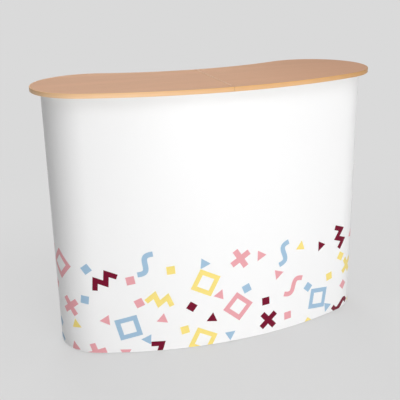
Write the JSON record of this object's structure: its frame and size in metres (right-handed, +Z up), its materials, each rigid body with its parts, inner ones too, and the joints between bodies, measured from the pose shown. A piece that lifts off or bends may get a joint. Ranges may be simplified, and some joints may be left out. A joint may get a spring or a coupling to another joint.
{
  "type": "exhibition counter",
  "caption": "Kidney-shaped exhibition counter with a hinged folding worktop on a curved scissor frame, a thin wrap-round front panel, and shelves reached from the open back.",
  "frame": {"origin": "on the floor, under the middle of the worktop's outline", "axes": "+X along the counter's length, -Y out of its front, +Z up"},
  "size_m": [1.2688, 0.5002, 0.9718],
  "materials": {
    "worktop_laminate": "satin beech-coloured laminate on board",
    "edging_strip": "satin light beech-coloured edging",
    "panel_print": "satin laminated print film, white",
    "hanger_plastic": "matt grey plastic profile",
    "tube_aluminium": "satin anodised",
    "bar_aluminium": "satin anodised",
    "hinge_brass": "satin",
    "hinge_steel": "satin",
    "hub_plastic": "matt black moulding",
    "lock_plastic": "matt grey moulding",
    "shelf_board": "matt grey board"
  },
  "bodies": {
    "frame": {"hub_bottom_front_left": "hub_plastic", "hub_bottom_front_centre": "hub_plastic", "hub_bottom_front_right": "hub_plastic", "hub_bottom_rear_left": "hub_plastic", "hub_bottom_rear_centre": "hub_plastic", "hub_bottom_rear_right": "hub_plastic", "hub_middle_front_left": "hub_plastic", "hub_middle_front_centre": "hub_plastic", "hub_middle_front_right": "hub_plastic", "hub_middle_rear_left": "hub_plastic", "hub_middle_rear_centre": "hub_plastic", "hub_middle_rear_right": "hub_plastic", "hub_top_front_left": "hub_plastic", "hub_top_front_centre": "hub_plastic", "hub_top_front_right": "hub_plastic", "hub_top_rear_left": "hub_plastic", "hub_top_rear_centre": "hub_plastic", "hub_top_rear_right": "hub_plastic", "level_strut_bottom_left_a": "tube_aluminium", "level_strut_bottom_left_b": "tube_aluminium", "level_strut_bottom_right_a": "tube_aluminium", "level_strut_bottom_right_b": "tube_aluminium", "level_strut_middle_left_a": "tube_aluminium", "level_strut_middle_left_b": "tube_aluminium", "level_strut_middle_right_a": "tube_aluminium", "level_strut_middle_right_b": "tube_aluminium", "level_strut_top_left_a": "tube_aluminium", "level_strut_top_left_b": "tube_aluminium", "level_strut_top_right_a": "tube_aluminium", "level_strut_top_right_b": "tube_aluminium", "upright_strut_lower_left_a": "tube_aluminium", "upright_strut_lower_left_b": "tube_aluminium", "upright_strut_lower_centre_a": "tube_aluminium", "upright_strut_lower_centre_b": "tube_aluminium", "upright_strut_lower_right_a": "tube_aluminium", "upright_strut_lower_right_b": "tube_aluminium", "upright_strut_upper_left_a": "tube_aluminium", "upright_strut_upper_left_b": "tube_aluminium", "upright_strut_upper_centre_a": "tube_aluminium", "upright_strut_upper_centre_b": "tube_aluminium", "upright_strut_upper_right_a": "tube_aluminium", "upright_strut_upper_right_b": "tube_aluminium", "bar_front_left": "bar_aluminium", "bar_front_centre": "bar_aluminium", "bar_front_right": "bar_aluminium", "bar_rear_left": "bar_aluminium", "bar_rear_right": "bar_aluminium", "panel": "panel_print", "panel_hanger": "hanger_plastic"},
    "worktop_left": {"worktop_left": "worktop_laminate", "edging_left": "edging_strip", "hinge_leaf_left": "hinge_brass", "hinge_pin": "hinge_steel"},
    "worktop_right": {"worktop_right": "worktop_laminate", "edging_right": "edging_strip", "hinge_leaf_right": "hinge_brass"},
    "shelf_left": {"shelf_left": "shelf_board"},
    "shelf_right": {"shelf_right": "shelf_board"},
    "lock_arm_lower": {"lock_arm_lower": "lock_plastic"},
    "lock_arm_middle": {"lock_arm_middle": "lock_plastic"}
  },
  "joints": [
    {"name": "worktop_lift", "type": "slide", "parent": "frame", "child": "worktop_left", "axis": [0, 0, 1], "range_m": [0, 0.3]},
    {"name": "worktop_fold", "type": "hinge", "parent": "worktop_left", "child": "worktop_right", "pos_m": [0, 0, 0.9705], "axis": [0, -1, 0], "range_deg": [0, 178]},
    {"name": "shelf_left_lift", "type": "slide", "parent": "frame", "child": "shelf_left", "axis": [0, 0, 1], "range_m": [0, 0.06]},
    {"name": "shelf_right_lift", "type": "slide", "parent": "frame", "child": "shelf_right", "axis": [0, 0, 1], "range_m": [0, 0.06]},
    {"name": "lock_lower_swing", "type": "hinge", "parent": "frame", "child": "lock_arm_lower", "pos_m": [0.0163, -0.16705, 0.053], "axis": [1, 0, 0], "range_deg": [0, 75]},
    {"name": "lock_middle_swing", "type": "hinge", "parent": "frame", "child": "lock_arm_middle", "pos_m": [0.0163, -0.16705, 0.47985], "axis": [1, 0, 0], "range_deg": [0, 75]}
  ]
}
